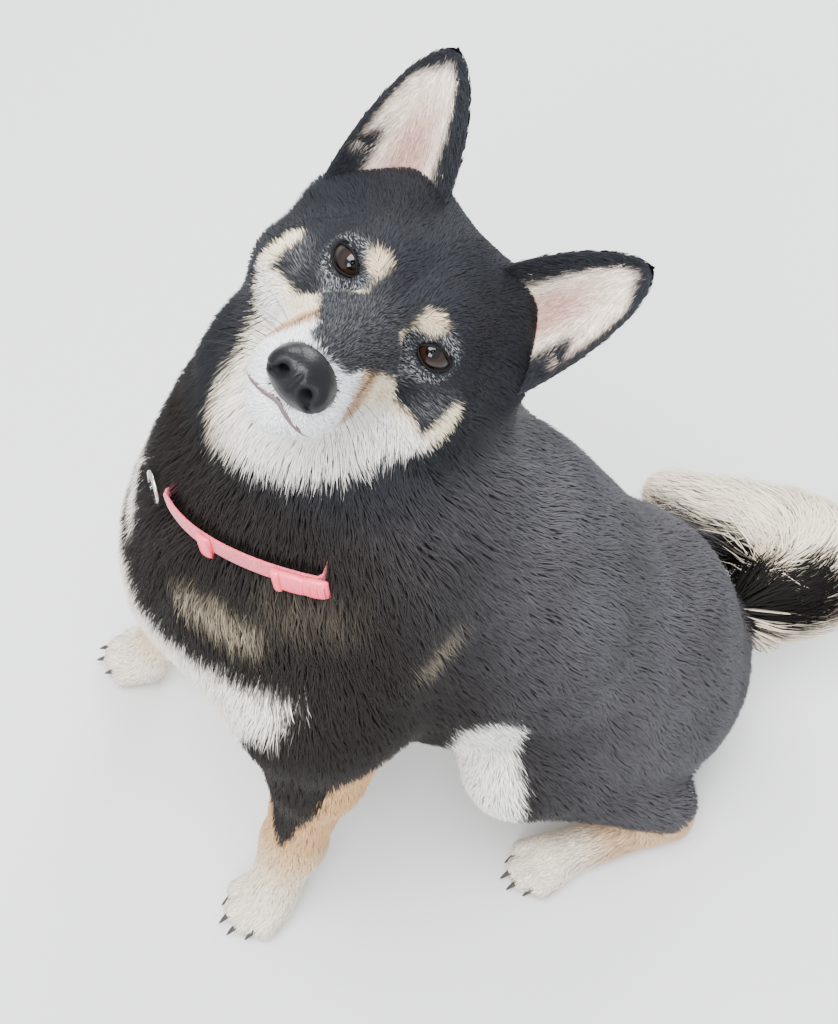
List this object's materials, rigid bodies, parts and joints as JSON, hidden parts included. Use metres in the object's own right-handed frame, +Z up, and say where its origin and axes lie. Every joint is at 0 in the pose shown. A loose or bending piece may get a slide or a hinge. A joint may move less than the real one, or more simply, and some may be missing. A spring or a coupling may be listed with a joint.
{
  "type": "shiba inu",
  "caption": "Black-and-tan shiba inu sitting with its head turned up, pointed ears, curled bushy tail and a pink collar.",
  "frame": {"origin": "middle of the footprint, on the ground", "axes": "the dog faces -Y, its left side is +X, +Z is up"},
  "size_m": [0.265, 0.561, 0.534],
  "materials": {
    "coat_dark": "black double coat with brown and grey hairs, cream and tan markings",
    "coat_pale": "short tan and cream coat, black down the front of each leg",
    "nose_leather": "moist, pebbled",
    "eye": "wet, dark brown iris",
    "claw_horn": "dark horn",
    "collar_webbing": "woven pink webbing",
    "collar_plastic": "pink moulded buckle",
    "collar_metal": "worn polished ring"
  },
  "bodies": {
    "root": {"claw_front_left_1": "claw_horn", "claw_front_left_2": "claw_horn", "claw_front_left_3": "claw_horn", "claw_front_left_4": "claw_horn", "claw_front_right_1": "claw_horn", "claw_front_right_2": "claw_horn", "claw_front_right_3": "claw_horn", "claw_front_right_4": "claw_horn", "claw_hind_left_1": "claw_horn", "claw_hind_left_2": "claw_horn", "claw_hind_left_3": "claw_horn", "claw_hind_left_4": "claw_horn", "claw_hind_right_1": "claw_horn", "claw_hind_right_2": "claw_horn", "claw_hind_right_3": "claw_horn", "claw_hind_right_4": "claw_horn", "collar_band": "collar_webbing", "collar_buckle": "collar_plastic", "collar_ring": "collar_metal", "collar_slider": "collar_plastic", "ear_left": "coat_dark", "ear_right": "coat_dark", "eye_left": "eye", "eye_right": "eye", "head": "coat_dark", "leg_front_left": "coat_pale", "leg_front_right": "coat_pale", "leg_hind_left": "coat_pale", "leg_hind_right": "coat_pale", "neck": "coat_dark", "nose": "nose_leather", "tail_root": "coat_dark", "tail_tip": "coat_dark", "thigh_left": "coat_dark", "thigh_right": "coat_dark", "torso": "coat_dark"}
  },
  "joints": []
}
